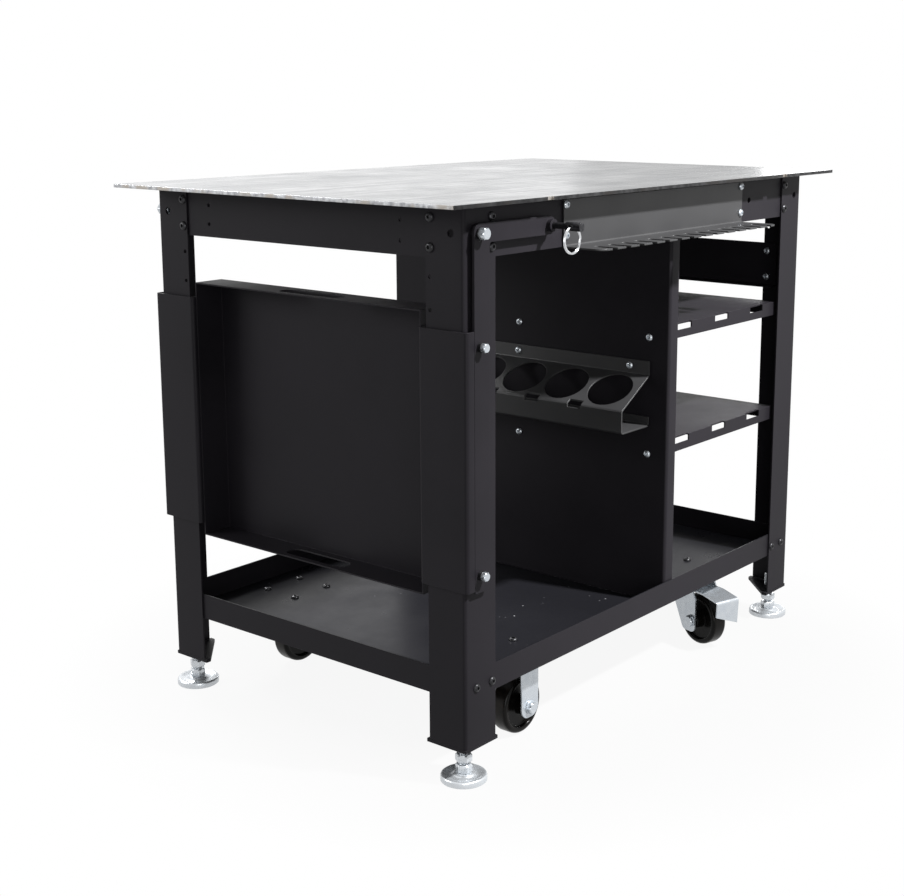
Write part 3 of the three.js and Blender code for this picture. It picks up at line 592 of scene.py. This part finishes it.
def softened(node, setup):
    shape = bmesh.new()
    shape.from_mesh(frame["nodes"][node].data)
    bmesh.ops.remove_doubles(shape, verts=shape.verts, dist=setup["merge"] * mm)
    bmesh.ops.dissolve_limit(shape, angle_limit=radians(setup["flat"]), verts=shape.verts,
                             edges=shape.edges)
    sharpest = radians(setup["sharpest"])
    edges = [e for e in shape.edges if len(e.link_faces) == 2 and e.calc_face_angle() > sharpest]
    bmesh.ops.bevel(shape, geom=edges, offset=setup["radius"] * mm, offset_type="OFFSET",
                    segments=setup["steps"], profile=0.5, affect="EDGES", clamp_overlap=True)
    return shape


def pieceName(node):
    first, *rest = node.split("_")
    return first + "".join(word.capitalize() for word in rest)


for node in frame["nodes"]:
    if node.startswith(turnedNodes):
        continue
    shape = softened(node, sheetEdges)
    finishes = [slotFinish[nodeSlot[node]]]
    if node == "top_plate":
        finishes += [plateEdge, plateSide]
        tilt = plateFaces["tilt"]
        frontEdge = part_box(node)[0].y + plateFaces["skin"] * mm
        notchEnd = plateFaces["notchShare"] * frontEdge
        for face in shape.faces:
            inNotch = frontEdge < face.calc_center_median().y < notchEnd
            longEdge = abs(face.normal.y) > tilt and not inNotch
            face.material_index = 0 if face.normal.z > tilt else 2 if longEdge else 1
    elif node in ("tool_rack", "bottle_holder"):
        # the rack and the holder take the coat that is painted paler, as painted light
        finishes = [rackCoat]
    elif node == "base_pan":
        finishes = [coat, panCoat]
        for face in shape.faces:
            face.material_index = 1 if face.normal.z > panFloorTilt else 0
    addPiece(pieceName(node), shape, nodeBody[node], finishes, [node], "sheet")
print("sheet metal dressed")


# Bolt and screw heads, with radius and height as shares of half the width
buttonProfile = [
    (0.9, 0), (1, 0.12), (0.93, 0.32), (0.72, 0.52), (0.46, 0.6),
    (0.36, 0.6, "hex"), (0.36, 0.25, "hex"), (0, 0.2),
]
hexEdge = {"drop": 0.16, "top": 0.94}        # chamfer of a hexagon's corners
washerEdge = {"reach": 0.63, "drop": 0.8, "top": 0.97}
headSteps = 24


def buttonHead(width):
    half = width / 2
    return [(half * radius, half * height, *form) for radius, height, *form in buttonProfile]


def hexHead(flats, height, base=0.0):
    half = flats / 2
    return [(half, base, "hex"), (half, height - half * hexEdge["drop"], "hex"),
            (half * hexEdge["top"], height), (0, height)]


def washerHead(flats, height, washer=1.6):
    wide = flats * washerEdge["reach"]
    return [(wide, 0), (wide, washer * washerEdge["drop"]), (wide * washerEdge["top"], washer),
            *hexHead(flats, height, washer)]


def outerFaces(corner):
    leg = "leg_" + corner
    sx, sy = corners[corner]
    return (low(leg).x if sx < 0 else high(leg).x), (low(leg).y if sy < 0 else high(leg).y)


legBolts = {
    "width": 15,
    "fromCorner": 65,
    "heights": (889, 844),
}


def addLegBolts(setup):
    shape = bmesh.new()
    head = buttonHead(setup["width"])
    for name, (sx, sy) in corners.items():
        outerX, outerY = outerFaces(name)
        inX = outerX - sx * setup["fromCorner"]
        inY = outerY - sy * setup["fromCorner"]
        for z in setup["heights"]:
            addTurned(shape, head, (outerX, inY, z), (sx, 0, 0), headSteps)
            addTurned(shape, head, (inX, outerY, z), (0, sy, 0), headSteps)
    addPiece("legBolts", shape, "frame", [oxide])


addLegBolts(legBolts)


panBolts = {
    "width": 14,
    "fromCorner": (27, 65),
    "height": 159,
}


def addPanBolts(setup):
    shape = bmesh.new()
    head = buttonHead(setup["width"])
    for name, (sx, sy) in corners.items():
        outerX, outerY = outerFaces(name)
        for inset in setup["fromCorner"]:
            spot = (outerX - sx * inset, outerY, setup["height"])
            addTurned(shape, head, spot, (0, sy, 0), headSteps)
    addPiece("panBolts", shape, "frame", [oxide])


addPanBolts(panBolts)


rackBolts = {
    "width": 14,
    "fromEnd": 6,
    "heights": (895, 846),
}


def addRackBolts(setup):
    shape = bmesh.new()
    head = buttonHead(setup["width"])
    faceY = low("leg_front_left").y
    for x in (low("tool_rack").x + setup["fromEnd"], high("tool_rack").x - setup["fromEnd"]):
        for z in setup["heights"]:
            addTurned(shape, head, (x, faceY, z), (0, -1, 0), headSteps)
    addPiece("rackBolts", shape, "frame", [zinc])


addRackBolts(rackBolts)


panelScrews = {
    "width": 14,
    "sheet": 3,                       # thickness of the holder and the end panel
    "dividerSpread": 295,
    "underShelf": (24.5, 29.4),       # mm below the upper and the lower shelf
    "holderSpread": 256,
    "holderDrop": 11.5,
    "endSpread": 279,
    "endHeights": (751.5, 699.5),
}


def addPanelScrews(setup):
    shape = bmesh.new()
    head = buttonHead(setup["width"])
    spots = []
    faceX = low("divider_panel").x
    for shelf, drop in zip(("upper_shelf", "lower_shelf"), setup["underShelf"]):
        spots += [(faceX, step * setup["dividerSpread"], high(shelf).z - drop) for step in (-1, 0, 1)]
    flangeX = high("bottle_holder").x - setup["sheet"]
    holderZ = high("bottle_holder").z - setup["holderDrop"]
    spots += [(flangeX, step * setup["holderSpread"], holderZ) for step in (-1, 0, 1)]
    innerX = high("end_panel").x - setup["sheet"]
    for side in (-1, 1):
        spots += [(innerX, side * setup["endSpread"], z) for z in setup["endHeights"]]
    for spot in spots:
        addTurned(shape, head, spot, (-1, 0, 0), headSteps)
    addPiece("panelScrews", shape, "frame", [zinc])


addPanelScrews(panelScrews)


casterBolts = {
    "head": 15,               # width of the button heads in the pan
    "nut": (13, 7),           # flats and height of the nuts under the plate
    "spread": (41, 37),       # mm from the caster's middle along the cart and across it
    "floor": 3,               # thickness of the pan and of the caster's plate
}


def addCasterBolts(setup):
    heads = bmesh.new()
    nuts = bmesh.new()
    panFloor = low("base_pan").z + setup["floor"]
    for node in [kind + side for kind in ("rigid_fork_", "swivel_plate_") for side in sides]:
        centre = middle(node)
        plateUnder = high(node).z - setup["floor"]
        for sx, sy in corners.values():
            spot = (centre.x + sx * setup["spread"][0], centre.y + sy * setup["spread"][1])
            addTurned(heads, buttonHead(setup["head"]), (*spot, panFloor), (0, 0, 1), headSteps)
            addTurned(nuts, washerHead(*setup["nut"]), (*spot, plateUnder), (0, 0, -1), headSteps)
    addPiece("casterBolts", heads, "frame", [oxide])
    addPiece("casterNuts", nuts, "frame", [zinc])


addCasterBolts(casterBolts)


armBolts = {
    "flats": 13,
    "headHeight": 7.4,
    "collar": (7.2, 6.5),         # radius and length under the head
    "collarEdge": 0.4,
    "heights": (698, 344.5),
}


def addArmBolts(setup):
    radius, length = setup["collar"]
    edge = setup["collarEdge"]
    collar = [(radius, 0), (radius, length - edge), (radius - edge, length)]
    head = hexHead(setup["flats"], setup["headHeight"])
    for side, sy in sides.items():
        bracket = "wing_bracket_" + side
        # the arm hangs straight below its pivot, flush with the bracket
        x = middle("pivot_bolt_" + side).x
        faceY = low(bracket).y if sy < 0 else high(bracket).y
        collars = bmesh.new()
        heads = bmesh.new()
        for z in setup["heights"]:
            addTurned(collars, collar, (x, faceY, z), (0, sy, 0))
            addTurned(heads, head, (x, faceY + sy * length, z), (0, sy, 0))
        addPiece("armCollars_" + side, collars, nodeBody[bracket], [oxide])
        addPiece("armBolts_" + side, heads, nodeBody[bracket], [zinc], edges="hexagon")


addArmBolts(armBolts)
print("fasteners placed")


# Levelling feet: spun pad, threaded stud with hexagon foot, and jam nut
levellingFoot = {
    "flats": 24,
    "chamfer": 1.6,
    "chamferTop": 0.96,           # share of the width across flats that is left at the end
    "collar": 27,                 # top of the stud's hexagon
    "thread": (8, 7.1, 2.0),      # crest, root and pitch
    "threadEnds": (0.4, 2),       # mm left plain at the hexagon and at the tip
    "crest": (0.4, 0.6),          # share of the pitch where the crest begins and ends
    "tip": 1,
    "bore": 0.3,                  # clearance of the nut
    "boreEdge": 1,
    "padRim": [(0.8, 0), (0, 0.8), (0, 7.6), (0.7, 9.6), (2.2, 10.8), (4.5, 11), (6.5, 10.2)],
    "padDish": [(24.5, 7.7), (22.5, 7.6), (18, 10.6), (15.6, 12.6)],
    "padNeck": 14,
    "steps": 60,
}


def addFoot(name, setup):
    pad = "foot_pad_" + name
    stud = "foot_stud_" + name
    nut = "jam_nut_" + name
    centre = middle(pad)
    spot = (centre.x, centre.y, 0)
    up = (0, 0, 1)
    half = setup["flats"] / 2
    ends = half * setup["chamferTop"]
    chamfer = setup["chamfer"]
    crest, root, pitch = setup["thread"]

    shape = bmesh.new()
    rim = (high(pad).x - low(pad).x) / 2
    padTop = high(pad).z
    rings = [(0, 0)] + [(rim - inset, height) for inset, height in setup["padRim"]] + setup["padDish"]
    addTurned(shape, rings + [(setup["padNeck"], padTop), (0, padTop)], spot, up, setup["steps"])
    addPiece("footPad_" + name, shape, nodeBody[pad], [footZinc], [pad])

    shape = bmesh.new()
    base, top, collar = low(stud).z, high(stud).z, setup["collar"]
    rings = [(0, base), (ends, base), (half, base + chamfer, "hex"), (half, collar - chamfer, "hex"),
             (ends, collar), (root, collar)]
    start, rest = setup["threadEnds"]
    rise, fall = setup["crest"]
    tip = setup["tip"]
    z = collar + start
    while z + pitch < top - rest:
        rings += [(root, z), (crest, z + pitch * rise), (crest, z + pitch * fall)]
        z += pitch
    rings += [(root, z), (root, top - tip), (root - tip, top), (0, top)]
    addTurned(shape, rings, spot, up)
    addPiece("footStud_" + name, shape, nodeBody[stud], [footZinc], [stud], "hexagon")

    shape = bmesh.new()
    base, top = low(nut).z, high(nut).z
    bore, edge = crest + setup["bore"], setup["boreEdge"]
    addTurned(shape, [(bore + edge, base), (ends, base), (half, base + chamfer, "hex"),
                      (half, top - chamfer, "hex"), (ends, top), (bore + edge, top),
                      (bore, top - edge), (bore, base + edge)], spot, up, closed=True)
    addPiece("jamNut_" + name, shape, nodeBody[nut], [footZinc], [nut], "hexagon")


for name in corners:
    addFoot(name, levellingFoot)
print("feet done")


# Casters: moulded wheels with a steel sleeve, bolted axles, and a ball race on the swivels
casterWheel = {
    "hub": (15, 26.7),        # radius and half length
    "web": 9.6,               # half thickness of the web
    "rim": 40,
    "tread": 16,              # half width
    "sleeve": (6.4, 8.8),     # inner and outer radius
    "sleeveProud": 0.8,
    "sleeveGap": 0.3,
    "steps": 72,
}


def addWheel(node, across, setup):
    centre = middle(node)
    radius = (high(node).z - low(node).z) / 2
    hub, width = setup["hub"]
    web, rim, tread = setup["web"], setup["rim"], setup["tread"]
    bore, sleeve = setup["sleeve"]
    # half of the section, from the bore over hub, web and rim to the middle of the tread
    half = [
        (sleeve + setup["sleeveGap"], width), (hub - 1.5, width), (hub, width - 1),
        (hub + 2.5, web + 0.8), (hub + 4.5, web), (rim - 4, web), (rim - 2.2, web + 0.8),
        (rim - 0.6, tread - 1), (rim + 1.2, tread), (radius - 5, tread),
        (radius - 2.4, tread - 1.2), (radius - 0.7, tread - 3.6), (radius, tread - 6.5),
    ]
    rings = [(r, -h) for r, h in half] + [(r, h) for r, h in reversed(half)]
    shape = bmesh.new()
    faces = addTurned(shape, rings, centre, across, setup["steps"], closed=True)
    treadBand = len(half) - 1
    for i, face in enumerate(faces):
        band = i // setup["steps"]
        face.material_index = 1 if abs(band - treadBand) <= 1 else 0
    addPiece(pieceName(node), shape, nodeBody[node], [wheelResin, treadResin], [node], "wheel")

    shape = bmesh.new()
    end = width + setup["sleeveProud"]
    addTurned(shape, [(bore, -end), (sleeve, -end), (sleeve, end), (bore, end)], centre, across, closed=True)
    addPiece(pieceName(node) + "Sleeve", shape, nodeBody[node], [zinc])


casterAxle = {
    "flats": 19,
    "headHeight": 8,
    "shank": 6,
    "cheek": 31.8,                # outer face of the fork from the wheel's middle
    "overlap": 1,                 # how far shank and tail reach into the heads
    "tail": (0.6, 0.6, 0.9),      # thread end past the nut: smaller radius, rise and dome
}


def addAxle(node, wheel, across, setup):
    centre = middle(wheel)
    shape = bmesh.new()
    shank, face, overlap = setup["shank"], setup["cheek"], setup["overlap"]
    addTurned(shape, [(shank, -face - overlap), (shank, face + overlap)], centre, across)
    for way in (-1, 1):
        outward = across * way
        addTurned(shape, washerHead(setup["flats"], setup["headHeight"]), centre + outward * face, outward)
    nutFace = centre + across * (face + setup["headHeight"])
    smaller, rise, dome = setup["tail"]
    addTurned(shape, [(shank - smaller, -overlap), (shank - smaller, rise), (0, dome)], nutFace, across)
    addPiece(pieceName(node), shape, nodeBody[node], [zinc], [node], "hexagon")


swivelRace = {
    "cup": (30.4, 33.5),              # inner and outer radius
    "cupLevels": (0.4, 2, 6, 8.4),    # mm above the plate's lowest point
    "cupEdges": (1, 1.5),             # chamfer below and above
    "kingNut": (19, 8),               # flats and height
    "crown": 6,                       # thickness of the fork's top
    "steps": 48,
}


def addSwivelRace(side, setup):
    plate = "swivel_plate_" + side
    fork = "swivel_fork_" + side
    centre = middle(plate)
    inner, outer = setup["cup"]
    foot, lower, upper, top = [low(plate).z + level for level in setup["cupLevels"]]
    under, over = setup["cupEdges"]
    shape = bmesh.new()
    addTurned(shape, [(inner, foot), (outer - under, foot), (outer, lower), (outer, upper),
                      (outer - over, top), (inner, top)], (centre.x, centre.y, 0), (0, 0, 1),
              setup["steps"], closed=True)
    addPiece("ballRace_" + side, shape, "frame", [zinc])

    shape = bmesh.new()
    crownUnder = high(fork).z - setup["crown"]
    addTurned(shape, washerHead(*setup["kingNut"]), (centre.x, centre.y, crownUnder), (0, 0, -1))
    addPiece("kingNut_" + side, shape, nodeBody[fork], [zinc])


for side in sides:
    for end in ("left", "right"):
        wheel = f"wheel_{end}_{side}"
        across = spinAxis[nodeBody[wheel]]
        addWheel(wheel, across, casterWheel)
        addAxle(f"axle_{end}_{side}", wheel, across, casterAxle)
    addSwivelRace(side, swivelRace)
print("casters done")


# Tray hardware: shoulder bolts at the pivots and split rings in the lock pins
pivotBolt = {
    "shank": 6,
    "shankEdge": 0.8,
    "overlap": 1,                     # how far the shank reaches into the head
    "spacers": ((344.3, 348.7), (354.3, 358.2)),        # from the middle of the cart
    "spacerRadius": 9,
    "spacerEdge": 0.5,
    "head": (358.2, 17, 10.2),        # face under the head, width across flats and height
    "nut": (337.4, 19, 10),           # face behind the apron, width across flats and height
    "nutWasher": 1.4,
}


def addPivotBolt(side, sy, setup):
    node = "pivot_bolt_" + side
    centre = middle(node)
    out = (0, sy, 0)
    spot = (centre.x, 0, centre.z)
    inner = min(abs(low(node).y), abs(high(node).y))
    headFace, *head = setup["head"]
    nutFace, *nut = setup["nut"]
    shank, edge = setup["shank"], setup["shankEdge"]
    bolt = bmesh.new()
    addTurned(bolt, [(0, inner), (shank - edge, inner), (shank, inner + edge),
                     (shank, headFace + setup["overlap"])], spot, out)
    addTurned(bolt, hexHead(*head), (centre.x, sy * headFace, centre.z), out)
    addTurned(bolt, washerHead(*nut, setup["nutWasher"]), (centre.x, sy * nutFace, centre.z), (0, -sy, 0))
    addPiece("pivotBolt_" + side, bolt, nodeBody[node], [zinc], [node], "hexagon")

    radius, edge = setup["spacerRadius"], setup["spacerEdge"]
    spacers = bmesh.new()
    for start, end in setup["spacers"]:
        addTurned(spacers, [(radius - edge, start), (radius, start + edge), (radius, end - edge),
                            (radius - edge, end)], spot, out)
    addPiece("pivotSpacers_" + side, spacers, nodeBody[node], [oxide])


splitRing = {
    "wire": (1.7, 1.0),       # half the wire's thickness outwards and along the pin
    "turns": 2,
    "stepsPerTurn": 56,
    "stepsShort": 2,          # the two ends stop short of each other
    "crossing": 16,           # the larger, the shorter the wire's step to its second coil
    "wireSteps": 12,
}


def addSplitRing(side, setup):
    node = "pull_ring_" + side
    centre = middle(node)
    outward, along = setup["wire"]
    radius = (high(node).x - low(node).x) / 2 - outward
    steps = setup["wireSteps"]
    count = setup["turns"] * setup["stepsPerTurn"] - setup["stepsShort"]
    shape = bmesh.new()
    loops = []
    for i in range(count):
        share = i / (count - 1)
        angle = 2 * pi * setup["turns"] * share
        shift = min(1, max(-1, (share - 0.5) * setup["crossing"])) * along
        loop = []
        for k in range(steps):
            turn = 2 * pi * k / steps
            reach = radius + outward * cos(turn)
            offset = Vector((reach * cos(angle), shift + along * sin(turn), reach * sin(angle)))
            loop.append(shape.verts.new((centre + offset) * mm))
        loops.append(loop)
    for lower, upper in zip(loops, loops[1:]):
        for k in range(steps):
            j = (k + 1) % steps
            shape.faces.new([lower[k], lower[j], upper[j], upper[k]])
    shape.faces.new(loops[0])
    shape.faces.new(loops[-1])
    addPiece("splitRing_" + side, shape, nodeBody[node], [ringWire], [node])


for side, sy in sides.items():
    addPivotBolt(side, sy, pivotBolt)
    addSplitRing(side, splitRing)
print("tray hardware done")
